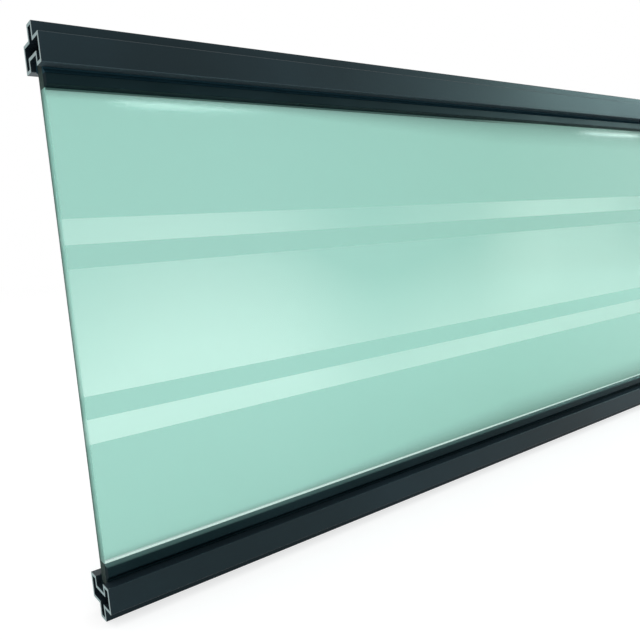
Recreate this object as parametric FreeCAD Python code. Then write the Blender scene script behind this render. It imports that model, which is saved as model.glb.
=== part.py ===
"""Glass infill panel: a tinted pane with etched bands, held by gaskets between two hollow tongued rails.

Millimetres. X runs along the panel, -Y is its front, +Z is up.
The origin is the middle of the lower tongue's tip.
"""
import FreeCAD
import Part

import math
import os

# Overall sizes
panel_length = 900.0
panel_height = 300.0
rail_depth = 27.0

# Rail section, from the tip of its tongue to its lips
tongue_thickness = 8.0
tongue_height = 7.5
body_height = 14.0
channel_depth = 5.0
rail_wall = 1.6
rail_corner_radius = 0.5
cavity_corner_radius = 0.3

# Glass pane
glass_thickness = 8.0
glass_arris = 0.5
end_recess = 2.5

# Etched bands on the back of the pane, mirrored about its middle
etch_depth = 0.15
middle_band_height = 65.0
stripe_gap = 12.0
stripe_height = 13.0

# Gasket section
gasket_wall = 1.5
gasket_base = 1.5
foot_chamfer = 1.0
neck_rise = 0.8
back_rise = 0.8
flare_rise = 2.6
head_overhang = 3.0
head_face = 4.9
lip_slope_rise = 0.9
head_corner_radius = 0.6

# Gap left between the pane, the gasket and the channel
fit_clearance = 0.05

# Sizes and levels that follow
gasket_inner_half = glass_thickness / 2 + fit_clearance
gasket_outer_half = gasket_inner_half + gasket_wall
channel_half = gasket_outer_half + fit_clearance
rail_lip_level = tongue_height + body_height
channel_floor_level = rail_lip_level - channel_depth
gasket_foot_level = channel_floor_level + fit_clearance
gasket_seat_level = gasket_foot_level + gasket_base
glass_foot_level = gasket_seat_level + fit_clearance
glass_height = panel_height - 2 * glass_foot_level
glazed_length = panel_length - 2 * end_recess
panel_middle = FreeCAD.Vector(0, 0, panel_height / 2)


def rounded_wire(corners, x):
    """Closed wire in the plane at x, through (y, z, radius) corners."""
    points = [FreeCAD.Vector(x, y, z) for y, z, _ in corners]
    starts, mids, ends = [], [], []
    for i, (_, _, radius) in enumerate(corners):
        corner = points[i]
        to_last = (points[i - 1] - corner).normalize()
        to_next = (points[(i + 1) % len(points)] - corner).normalize()
        half_angle = to_last.getAngle(to_next) / 2
        inward = (to_last + to_next).normalize()
        starts.append(corner + to_last * (radius / math.tan(half_angle)))
        mids.append(corner + inward * (radius / math.sin(half_angle) - radius))
        ends.append(corner + to_next * (radius / math.tan(half_angle)))
    edges = []
    for i, (_, _, radius) in enumerate(corners):
        edges.append(Part.LineSegment(ends[i - 1], starts[i]).toShape())
        if radius > 0:
            edges.append(Part.Arc(starts[i], mids[i], ends[i]).toShape())
    return Part.Wire(edges)


def extrusion(corners, length):
    """Bar of the given section, centred on X = 0."""
    section = Part.Face(rounded_wire(corners, -length / 2))
    return section.extrude(FreeCAD.Vector(length, 0, 0))


def rail_outline(inset, radius):
    """Rail section moved inwards by inset: tongue, shoulders, two legs and the channel between them."""
    tongue_half = tongue_thickness / 2 - inset
    outer_half = rail_depth / 2 - inset
    inner_half = channel_half + inset
    tip = inset
    shoulder = tongue_height + inset
    lip = rail_lip_level - inset
    floor = channel_floor_level - inset
    back = [
        (tongue_half, tip, radius),
        (tongue_half, shoulder, radius),
        (outer_half, shoulder, radius),
        (outer_half, lip, radius),
        (inner_half, lip, radius),
        (inner_half, floor, radius),
    ]
    front = [(-y, z, r) for y, z, r in reversed(back)]
    return back + front


def make_rail():
    """Lower rail: a single-walled hollow extrusion, open at both ends."""
    outside = extrusion(rail_outline(0, rail_corner_radius), panel_length)
    cavity = extrusion(rail_outline(rail_wall, cavity_corner_radius), panel_length)
    return outside.cut(cavity)


def make_gasket():
    """Lower gasket: a U round the pane's edge, flared over the rail's front lip and low at the back."""
    neck_top = rail_lip_level + neck_rise
    flare_top = neck_top + flare_rise
    face_top = flare_top + head_face
    lip_top = face_top + lip_slope_rise
    back_top = rail_lip_level + back_rise
    head_front = -gasket_outer_half - head_overhang
    foot_half = gasket_outer_half - foot_chamfer
    chamfer_top = gasket_foot_level + foot_chamfer
    outline = [
        (gasket_inner_half, back_top, 0),
        (gasket_inner_half, gasket_seat_level, 0),
        (-gasket_inner_half, gasket_seat_level, 0),
        (-gasket_inner_half, lip_top, 0),
        (head_front, face_top, head_corner_radius),
        (head_front, flare_top, head_corner_radius),
        (-gasket_outer_half, neck_top, 0),
        (-gasket_outer_half, chamfer_top, 0),
        (-foot_half, gasket_foot_level, 0),
        (foot_half, gasket_foot_level, 0),
        (gasket_outer_half, chamfer_top, 0),
        (gasket_outer_half, back_top, 0),
    ]
    return extrusion(outline, glazed_length)


def make_glass():
    """Pane with ground arrises and three shallow etched bands across its back."""
    front = -glass_thickness / 2
    corner = FreeCAD.Vector(-glazed_length / 2, front, glass_foot_level)
    blank = Part.makeBox(glazed_length, glass_thickness, glass_height, corner)
    pane = blank.makeChamfer(glass_arris, blank.Edges)
    middle_half = middle_band_height / 2
    stripe_low = middle_half + stripe_gap
    bands = [
        (-middle_half, middle_band_height),
        (stripe_low, stripe_height),
        (-stripe_low - stripe_height, stripe_height),
    ]
    for low, height in bands:
        band_corner = FreeCAD.Vector(-glazed_length / 2, glass_thickness / 2 - etch_depth, panel_middle.z + low)
        pane = pane.cut(Part.makeBox(glazed_length, glass_thickness, height, band_corner))
    return pane


def turned_over(shape):
    """The same extrusion used at the other edge of the panel, its front still at the front."""
    copy = shape.copy()
    copy.rotate(panel_middle, FreeCAD.Vector(0, 1, 0), 180)
    return copy


rail = make_rail()
gasket = make_gasket()
nodes = {
    "bottom_rail": rail,
    "top_rail": turned_over(rail),
    "bottom_gasket": gasket,
    "top_gasket": turned_over(gasket),
    "glass_pane": make_glass(),
}

os.makedirs("parts", exist_ok=True)
for name, shape in nodes.items():
    shape.exportStep(f"parts/{name}.step")
    print(name, "solids", len(shape.Solids), "valid", shape.isValid(), "volume", round(shape.Volume, 1))
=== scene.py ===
import math

import bpy
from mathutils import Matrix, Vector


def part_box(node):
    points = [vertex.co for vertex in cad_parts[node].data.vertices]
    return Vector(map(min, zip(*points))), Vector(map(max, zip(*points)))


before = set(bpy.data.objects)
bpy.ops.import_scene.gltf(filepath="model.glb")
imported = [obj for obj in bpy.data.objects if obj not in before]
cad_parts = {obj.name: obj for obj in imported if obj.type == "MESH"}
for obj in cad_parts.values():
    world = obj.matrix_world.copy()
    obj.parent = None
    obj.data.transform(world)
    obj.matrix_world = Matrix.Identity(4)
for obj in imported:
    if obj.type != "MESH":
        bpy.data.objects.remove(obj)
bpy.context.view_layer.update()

# Camera, read from the photograph: place in metres, turn in degrees, lens and sensor in millimetres
camera_place = (-0.54175, -0.34006, 0.18307)
camera_turn = (83.674, 4.722, -37.352)
camera_lens = 37.161
camera_sensor = 36.0
camera_shift = -0.015
camera_near_limit = 0.01

# Where a face counts as cut, measured along the panel from its middle, in metres
saw_margin = 0.00004
ground_margin = 0.0004
rail_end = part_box("bottom_rail")[1].x - saw_margin
gasket_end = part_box("bottom_gasket")[1].x - saw_margin
pane_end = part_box("glass_pane")[1].x - ground_margin

# The pane and the bands etched on it, in metres
pane_middle = 0.150
pane_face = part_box("glass_pane")[1].y
middle_band = 0.065
stripe_gap = 0.012
stripe_band = 0.013
stripe_level = middle_band / 2 + stripe_gap + stripe_band / 2
bands_foot = pane_middle - stripe_level - stripe_band / 2
middle_top = pane_middle + middle_band / 2

# Gasket lips and the upper rail's lip, in metres
lower_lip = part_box("bottom_gasket")[1].z
lip_level = pane_middle - lower_lip
lip_slope = 0.0009
upper_rail_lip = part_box("top_rail")[0].z
lip_rounding = 0.0003
flare_drop = 0.0031

# Painted highlight line, painted shadow line and painted shade on the glass beside the gaskets, in metres
front_highlight_height = 0.0012
back_highlight_height = -0.0004
shadow_line_at_ends = 0.0011
shadow_line_at_middle = 0.0017
painted_shade_at_ends = 0.0055
painted_shade_at_middle = 0.020

# Distances from the panel's middle over which the glass deepens with painted shade, and its bands grow
# paler with painted light, in metres
deepen_from = 0.33
deepen_to = 0.11
pale_from = 0.14
pale_to = 0.05

# Colours of the coat, the rubber and the glass, linear
coat_deep = (0.0085, 0.0145, 0.0185, 1)
coat_light = (0.0125, 0.0225, 0.0295, 1)
# Painted light under the upper rail's lip
painted_light_under_lip = (0.050, 0.074, 0.086, 1)
coat_sheen = (0.62, 0.96, 1.0, 1)
bare_metal = (0.36, 0.345, 0.335, 1)
rubber_black = (0.0018, 0.0082, 0.0112, 1)
rubber_bloom = (0.0060, 0.0150, 0.0195, 1)
rubber_sheen = (0.55, 1.0, 0.97, 1)
# Painted light on the lower gasket's up-facing lip
lip_painted_light = (0.068, 0.122, 0.118, 1)
# Painted fill light on the upper gasket's flare, in its shaded groove
flare_painted_light = (0.014, 0.046, 0.064, 1)
glass_sheen = (0.60, 1.0, 0.92, 1)
front_tint = (0.60, 0.85, 0.79, 1)
# Painted shade: the front tint deepens towards the panel's middle
front_tint_painted_shade = (0.497, 0.760, 0.675, 1)
back_tint = (0.178, 0.500, 0.392, 1)
# Paler back tint for painted reflection patches
back_tint_painted_reflection = (0.200, 0.520, 0.410, 1)
etched_tint = (0.086, 0.454, 0.345, 1)
etched_tint_pale = (0.615, 0.995, 0.840, 1)
# Colour of the painted highlight line above the lower gasket
painted_highlight_tint = (0.74, 0.97, 0.90, 1)
# Colours of the painted shade on the glass beside the gaskets
painted_shade_colour_at_ends = (0.170, 0.195, 0.200, 1)
painted_shade_colour_at_middle = (0.130, 0.215, 0.185, 1)
# Colour of the painted shadow line under the upper gasket
painted_shadow_dark = (0.0060, 0.0150, 0.0140, 1)
# Deep green of the ground ends, also painted shade where they sit inside the gaskets
edge_deep_and_shade = (0.0040, 0.0100, 0.0080, 1)
edge_light = (0.530, 0.870, 0.790, 1)

# Colours of the studio, linear
white = (1, 1, 1, 1)
floor_pale = (0.80, 0.80, 0.80, 1)
floor_in_shadow = (0.38, 0.38, 0.38, 1)


# Shader node helpers
def place(tree, kind, values=None, **settings):
    """New node with its settings, and the given values or links on its inputs."""
    made = tree.nodes.new(kind)
    for name, value in settings.items():
        setattr(made, name, value)
    for key, value in (values or {}).items():
        socket = made.inputs[key]
        if isinstance(value, bpy.types.NodeSocket):
            tree.links.new(value, socket)
        else:
            socket.default_value = value
    return made


def sums(tree, operation, first, second=0.0, third=0.0):
    """Result of one Math node."""
    made = place(tree, "ShaderNodeMath", {0: first, 1: second, 2: third}, operation=operation)
    return made.outputs[0]


def between(tree, factor, low, high):
    """Colour between low and high."""
    made = place(tree, "ShaderNodeMix", {0: factor, 6: low, 7: high}, data_type="RGBA")
    return made.outputs[2]


def ranged(tree, value, low, high):
    """Value from 0 to 1 spread from low to high."""
    made = place(tree, "ShaderNodeMapRange", {"Value": value, "To Min": low, "To Max": high})
    return made.outputs["Result"]


def share(tree, value, start, end, kind="LINEAR"):
    """How far a value has come from start to end, from 0 to 1."""
    made = place(tree, "ShaderNodeMapRange", {
        "Value": value, "From Min": start, "From Max": end,
    }, interpolation_type=kind)
    return made.outputs["Result"]


def object_axes(tree):
    """X, Y and Z of a point on the part, in metres."""
    spot = place(tree, "ShaderNodeTexCoord").outputs["Object"]
    return place(tree, "ShaderNodeSeparateXYZ", {"Vector": spot}).outputs


def new_group(name, inputs, outputs):
    """Empty shader group with named float sockets, and its input and output nodes."""
    group = bpy.data.node_groups.new(name, "ShaderNodeTree")
    for socket, value in inputs.items():
        made = group.interface.new_socket(socket, in_out="INPUT", socket_type="NodeSocketFloat")
        made.default_value = value
    for socket in outputs:
        group.interface.new_socket(socket, in_out="OUTPUT", socket_type="NodeSocketFloat")
    return group, place(group, "NodeGroupInput"), place(group, "NodeGroupOutput")


def use(tree, group, output, **values):
    """Output of a group placed in a material."""
    made = place(tree, "ShaderNodeGroup", node_tree=group)
    for name, value in values.items():
        made.inputs[name.replace("_", " ").capitalize()].default_value = value
    return made.outputs[output]


# Effects shared by the finishes
def make_cut_face():
    """Mask of the square-cut faces at both ends of a length."""
    group, given, result = new_group("cut_face", {"From middle": 0.45}, ["Mask"])
    distance = sums(group, "ABSOLUTE", object_axes(group)["X"])
    mask = sums(group, "GREATER_THAN", distance, given.outputs["From middle"])
    group.links.new(mask, result.inputs["Mask"])
    return group


def make_mottle():
    """Soft patches or fine grain, by how many there are in a metre."""
    inputs = {"Per metre": 5.0, "Detail": 3.0, "Pattern": 0.0}
    group, given, result = new_group("mottle", inputs, ["Value"])
    spot = place(group, "ShaderNodeTexCoord").outputs["Object"]
    noise = place(group, "ShaderNodeTexNoise", {
        "Vector": spot, "W": given.outputs["Pattern"],
        "Scale": given.outputs["Per metre"], "Detail": given.outputs["Detail"],
    }, noise_dimensions="4D")
    darkest = 0.32
    lightest = 0.68
    spread = share(group, noise.outputs["Fac"], darkest, lightest, "SMOOTHSTEP")
    group.links.new(spread, result.inputs["Value"])
    return group


def make_drawn_lines():
    """Fine lines left along a length by the die it was pushed through."""
    group, given, result = new_group("drawn_lines", {"Across": 1500.0, "Along": 4.0}, ["Height"])
    spot = place(group, "ShaderNodeTexCoord").outputs["Object"]
    stretch = place(group, "ShaderNodeCombineXYZ", {
        "X": given.outputs["Along"], "Y": given.outputs["Across"], "Z": given.outputs["Across"],
    }).outputs["Vector"]
    scaled = place(group, "ShaderNodeVectorMath", {0: spot, 1: stretch}, operation="MULTIPLY")
    noise = place(group, "ShaderNodeTexNoise", {
        "Vector": scaled.outputs[0], "Scale": 1.0, "Detail": 2.0,
    })
    group.links.new(noise.outputs["Fac"], result.inputs["Height"])
    return group


cut_face = make_cut_face()
mottle = make_mottle()
drawn_lines = make_drawn_lines()


# Finishes
def new_finish(name, values):
    """Material with one Principled shader, its constants set on its own sockets."""
    finish = bpy.data.materials.new(name)
    finish.use_nodes = True
    shader = finish.node_tree.nodes["Principled BSDF"]
    for socket, value in values.items():
        shader.inputs[socket].default_value = value
    return finish, finish.node_tree, shader


def make_rail_coating():
    """Satin anthracite powder coat with painted light under the upper rail's lip, and bare metal on the
    sawn ends.
    """
    finish, tree, shader = new_finish("rail_coating", {
        "IOR": 1.5, "Specular IOR Level": 0.18, "Specular Tint": coat_sheen,
    })
    sawn = use(tree, cut_face, "Mask", from_middle=rail_end)
    tone = use(tree, mottle, "Value", per_metre=7.0, detail=4.0)
    grain = use(tree, mottle, "Value", per_metre=950.0, detail=2.0)
    lines = use(tree, drawn_lines, "Height", across=420.0, along=1.5)

    # Colour with painted light under the upper rail's lip, and metal where it is sawn
    under_lip = sums(tree, "COMPARE", object_axes(tree)["Z"], upper_rail_lip, lip_rounding)
    coat = between(tree, tone, coat_deep, coat_light)
    # Painted light under the upper rail's lip, mixed into the coat
    coat_with_painted_light = between(tree, under_lip, coat, painted_light_under_lip)
    tree.links.new(between(tree, sawn, coat_with_painted_light, bare_metal), shader.inputs["Base Color"])
    tree.links.new(sawn, shader.inputs["Metallic"])

    # Satin sheen with a fine peel and faint die lines
    smoothest = 0.35
    dullest = 0.41
    dulled_by_grain = 0.06
    satin = ranged(tree, tone, smoothest, dullest)
    rough = sums(tree, "MULTIPLY_ADD", grain, dulled_by_grain, satin)
    tree.links.new(rough, shader.inputs["Roughness"])
    peel = place(tree, "ShaderNodeBump", {"Strength": 0.10, "Distance": 0.0002, "Height": grain})
    drawn = place(tree, "ShaderNodeBump", {
        "Strength": 0.06, "Distance": 0.0003, "Height": lines, "Normal": peel.outputs["Normal"],
    })
    tree.links.new(drawn.outputs["Normal"], shader.inputs["Normal"])
    return finish


def make_gasket_rubber():
    """Black rubber with die lines and a bloom, painted light on the lower lip and upper flare that face up,
    matt where cut.
    """
    finish, tree, shader = new_finish("gasket_rubber", {
        "IOR": 1.5, "Specular IOR Level": 0.11, "Specular Tint": rubber_sheen,
    })
    cut = use(tree, cut_face, "Mask", from_middle=gasket_end)
    bloom = use(tree, mottle, "Value", per_metre=22.0, detail=5.0)
    grain = use(tree, mottle, "Value", per_metre=1600.0, detail=2.0)
    lines = use(tree, drawn_lines, "Height", across=1100.0, along=3.0)
    height = object_axes(tree)["Z"]

    # Painted light on the lower gasket's up-facing lip, and painted fill light on the upper gasket's shaded
    # flare
    lip_foot = lower_lip - lip_slope
    lit_from = lower_lip - 0.6 * lip_slope
    on_lip = share(tree, height, lip_foot, lit_from)
    on_lower_lip = sums(tree, "MULTIPLY", on_lip, sums(tree, "LESS_THAN", height, pane_middle))
    on_flare = sums(tree, "GREATER_THAN", height, upper_rail_lip - flare_drop)
    rubber = between(tree, bloom, rubber_black, rubber_bloom)
    flare_lit = between(tree, on_flare, rubber, flare_painted_light)
    tree.links.new(between(tree, on_lower_lip, flare_lit, lip_painted_light), shader.inputs["Base Color"])

    # Dull skin with die lines, and matt cut ends
    smoothest = 0.36
    dullest = 0.46
    dulled_by_grain = 0.06
    matt = 0.9
    skin = sums(tree, "MULTIPLY_ADD", grain, dulled_by_grain, ranged(tree, bloom, smoothest, dullest))
    rough = sums(tree, "MAXIMUM", skin, sums(tree, "MULTIPLY", cut, matt))
    tree.links.new(rough, shader.inputs["Roughness"])
    ribs = place(tree, "ShaderNodeBump", {"Strength": 0.10, "Distance": 0.0003, "Height": lines})
    fine = place(tree, "ShaderNodeBump", {
        "Strength": 0.06, "Distance": 0.0001, "Height": grain, "Normal": ribs.outputs["Normal"],
    })
    tree.links.new(fine.outputs["Normal"], shader.inputs["Normal"])
    return finish


def make_tinted_glass():
    """Green tinted glass with bands etched on its back, ground ends, and painted shade beside the gaskets.
    """
    finish, tree, shader = new_finish("tinted_glass", {
        "Transmission Weight": 0.85, "IOR": 1.5, "Specular Tint": glass_sheen,
    })
    along, depth, height = object_axes(tree)
    level = sums(tree, "ABSOLUTE", sums(tree, "SUBTRACT", height, pane_middle))
    aside = sums(tree, "ABSOLUTE", along)
    inward = share(tree, aside, deepen_from, deepen_to)
    by_middle = share(tree, aside, pale_from, pale_to)
    front = sums(tree, "LESS_THAN", depth, 0.0)

    # Middle band and the two stripes, on the back
    middle = sums(tree, "LESS_THAN", level, middle_band / 2)
    stripe = sums(tree, "COMPARE", level, stripe_level, stripe_band / 2)
    etched = sums(tree, "MAXIMUM", middle, stripe)
    etched_back = sums(tree, "SUBTRACT", etched, front)

    # Etching with painted reflection patches, and painted light that makes it paler low down and at the
    # panel's middle
    paler_at_foot = 0.26
    deeper_at_top = -0.24
    paler_at_middle = 0.26
    least_cover = 0.30
    # Painted reflection patches, shared by the clear and etched tint
    painted_reflection_cloud = use(tree, mottle, "Value", per_metre=3.0, detail=1.0, pattern=114.8)
    painted_rise = ranged(tree, share(tree, height, bands_foot, middle_top), paler_at_foot, deeper_at_top)
    lower_two = sums(tree, "LESS_THAN", height, middle_top)
    reflection_and_middle_light = sums(tree, "MULTIPLY_ADD", by_middle, paler_at_middle, painted_reflection_cloud)
    painted_light_cover = sums(tree, "MULTIPLY_ADD", lower_two, painted_rise, reflection_and_middle_light)
    satin = between(tree, sums(tree, "MAXIMUM", painted_light_cover, least_cover), etched_tint, etched_tint_pale)

    # Tint of the back with painted reflection patches, and of the front, deeper towards the panel's middle
    # as painted shade
    clear = between(tree, painted_reflection_cloud, back_tint, back_tint_painted_reflection)
    back = between(tree, etched_back, clear, satin)
    face = between(tree, inward, front_tint, front_tint_painted_shade)
    body = between(tree, front, back, face)

    # Painted shade on the front beside both gaskets, which deepens towards the panel's middle
    painted_shade_falloff = 1.5
    from_lip = sums(tree, "SUBTRACT", lip_level, level)
    reach = ranged(tree, inward, painted_shade_at_ends, painted_shade_at_middle)
    nearness = share(tree, from_lip, reach, 0.0)
    painted_shade = sums(tree, "MULTIPLY", front, sums(tree, "POWER", nearness, painted_shade_falloff))
    painted_shade_colour = between(tree, inward, painted_shade_colour_at_ends, painted_shade_colour_at_middle)
    painted_shaded = between(tree, painted_shade, body, painted_shade_colour)

    # Painted shadow line under the upper gasket, which fades at the panel's middle
    shadow_line_width = ranged(tree, inward, shadow_line_at_ends, shadow_line_at_middle)
    by_lip = sums(tree, "LESS_THAN", from_lip, shadow_line_width)
    upper_front = sums(tree, "MULTIPLY", front, sums(tree, "GREATER_THAN", height, pane_middle))
    shadow_line_cover = sums(tree, "SUBTRACT", 1.0, by_middle)
    painted_shadow_line = sums(tree, "MULTIPLY", sums(tree, "MULTIPLY", upper_front, by_lip), shadow_line_cover)
    shadow_lined = between(tree, painted_shadow_line, painted_shaded, painted_shadow_dark)

    # Painted highlight line above the lower gasket
    highlight_top = sums(tree, "MULTIPLY_ADD", front, front_highlight_height - back_highlight_height, lower_lip + back_highlight_height)
    in_painted_highlight = sums(tree, "LESS_THAN", height, highlight_top)
    painted_highlighted = between(tree, in_painted_highlight, shadow_lined, painted_highlight_tint)

    # Ground ends, deep green at the back, and painted shade where they sit inside the gaskets
    deep_from = 0.8 * pane_face
    ground = use(tree, cut_face, "Mask", from_middle=pane_end)
    seated = sums(tree, "GREATER_THAN", level, lip_level)
    forward = share(tree, depth, deep_from, -pane_face)
    open_edge = sums(tree, "MULTIPLY", forward, sums(tree, "SUBTRACT", 1.0, seated))
    edge = between(tree, open_edge, edge_deep_and_shade, edge_light)
    tree.links.new(between(tree, ground, painted_highlighted, edge), shader.inputs["Base Color"])

    # Polished faces, satin bands and matt ground ends
    polish = 0.05
    etched_satin = 0.28
    frost_in_satin = 0.10
    ground_matt = 0.85
    frost = use(tree, mottle, "Value", per_metre=1400.0, detail=2.0)
    frosted = sums(tree, "MULTIPLY_ADD", frost, frost_in_satin, etched_satin)
    smooth = sums(tree, "MAXIMUM", sums(tree, "MULTIPLY", etched_back, frosted), polish)
    rough = sums(tree, "MAXIMUM", smooth, sums(tree, "MULTIPLY", ground, ground_matt))
    tree.links.new(rough, shader.inputs["Roughness"])
    return finish


# Finishes on the part
finishes = {
    "bottom_rail": make_rail_coating(),
    "bottom_gasket": make_gasket_rubber(),
    "glass_pane": make_tinted_glass(),
}
finishes["top_rail"] = finishes["bottom_rail"]
finishes["top_gasket"] = finishes["bottom_gasket"]
for name, finish in finishes.items():
    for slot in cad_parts[name].material_slots:
        slot.material = finish


# Studio
def seen_directly(tree):
    """One for what the camera, a reflection or a see-through ray meets, and zero for light that bounces."""
    path = place(tree, "ShaderNodeLightPath").outputs
    shiny = sums(tree, "MAXIMUM", path["Is Glossy Ray"], path["Is Transmission Ray"])
    return sums(tree, "MAXIMUM", path["Is Camera Ray"], shiny)


def make_world():
    """Soft even light, seen as a white background."""
    world = bpy.data.worlds.new("studio")
    bpy.context.scene.world = world
    world.use_nodes = True
    tree = world.node_tree
    tree.nodes.clear()
    soft = place(tree, "ShaderNodeBackground", {"Color": white, "Strength": 0.75})
    backdrop = place(tree, "ShaderNodeBackground", {"Color": white, "Strength": 1.0})
    mixed = place(tree, "ShaderNodeMixShader", {
        0: seen_directly(tree), 1: soft.outputs[0], 2: backdrop.outputs[0],
    })
    place(tree, "ShaderNodeOutputWorld", {"Surface": mixed.outputs[0]})


def make_floor_finish():
    """Pale floor that is seen as white and keeps the panel's shadow."""
    finish = bpy.data.materials.new("floor_white")
    finish.use_nodes = True
    tree = finish.node_tree
    tree.nodes.clear()
    pale = place(tree, "ShaderNodeBsdfDiffuse", {"Color": floor_pale})
    shaded = place(tree, "ShaderNodeBsdfDiffuse", {"Color": floor_in_shadow})
    glow = place(tree, "ShaderNodeEmission", {"Color": white, "Strength": 0.71})
    bright = place(tree, "ShaderNodeAddShader", {0: shaded.outputs[0], 1: glow.outputs[0]})
    mixed = place(tree, "ShaderNodeMixShader", {
        0: seen_directly(tree), 1: pale.outputs[0], 2: bright.outputs[0],
    })
    place(tree, "ShaderNodeOutputMaterial", {"Surface": mixed.outputs[0]})
    return finish


def make_floor():
    """Square floor just under the panel."""
    half = 8.0
    under = -0.0003
    corners = [(-half, -half, under), (half, -half, under), (half, half, under), (-half, half, under)]
    mesh = bpy.data.meshes.new("floor")
    mesh.from_pydata(corners, [], [(0, 1, 2, 3)])
    mesh.materials.append(make_floor_finish())
    floor = bpy.data.objects.new("floor", mesh)
    bpy.context.scene.collection.objects.link(floor)


def make_lamp(name, spot, aim, width, height, power, colour=(1, 1, 1)):
    """Area lamp turned towards a point, not itself in the picture."""
    lamp = bpy.data.lights.new(name, "AREA")
    lamp.shape = "RECTANGLE"
    lamp.size = width
    lamp.size_y = height
    lamp.energy = power
    lamp.color = colour
    box = bpy.data.objects.new(name, lamp)
    bpy.context.scene.collection.objects.link(box)
    box.location = spot
    direction = Vector(aim) - Vector(spot)
    box.rotation_euler = direction.to_track_quat("-Z", "Y").to_euler()
    box.visible_camera = False
    return lamp


def fade_tube(lamp, full_from, full_to):
    """Lets a tube glow up from its left end and die away to its right end, in shares of its length."""
    lamp.use_nodes = True
    tree = lamp.node_tree
    spot = place(tree, "ShaderNodeNewGeometry").outputs["Parametric"]
    along = place(tree, "ShaderNodeSeparateXYZ", {"Vector": spot}).outputs["X"]
    glow_up = share(tree, along, 0.0, full_from, "SMOOTHSTEP")
    die_away = share(tree, along, 1.0, full_to, "SMOOTHSTEP")
    glow = sums(tree, "MULTIPLY", glow_up, die_away)
    tree.links.new(glow, tree.nodes["Emission"].inputs["Strength"])


def make_lamps():
    """Soft light from above, a strip along the rails, and two tubes that the glass mirrors as streaks."""
    make_lamp(
        "overhead_softbox", spot=(-0.2, -0.5, 2.2), aim=(0, 0, 0.15),
        width=2.4, height=2.4, power=15.0,
    )
    make_lamp(
        "strip_softbox", spot=(2.20, -0.72, 0.84), aim=(0, 0, 0.28),
        width=1.2, height=0.25, power=19.0, colour=(0.63, 1.0, 1.0),
    )
    near_tube = make_lamp(
        "near_tube", spot=(0.42, -1.50, 0.626), aim=(0.42, 0, 0.262),
        width=0.62, height=0.009, power=0.20, colour=(1.0, 0.75, 0.80),
    )
    fade_tube(near_tube, full_from=0.20, full_to=0.26)
    far_tube = make_lamp(
        "far_tube", spot=(2.69, -1.50, 0.6275), aim=(2.69, 0, 0.2635),
        width=0.66, height=0.012, power=0.17,
    )
    fade_tube(far_tube, full_from=0.32, full_to=0.80)


def make_camera():
    """Camera at the photograph's viewpoint."""
    lens = bpy.data.cameras.new("camera")
    lens.sensor_width = camera_sensor
    lens.lens = camera_lens
    lens.shift_x = camera_shift
    lens.clip_start = camera_near_limit
    camera = bpy.data.objects.new("camera", lens)
    camera.location = camera_place
    camera.rotation_euler = [math.radians(angle) for angle in camera_turn]
    bpy.context.scene.collection.objects.link(camera)
    bpy.context.scene.camera = camera


make_world()
make_floor()
make_lamps()
make_camera()
bpy.context.scene.view_settings.view_transform = "Standard"
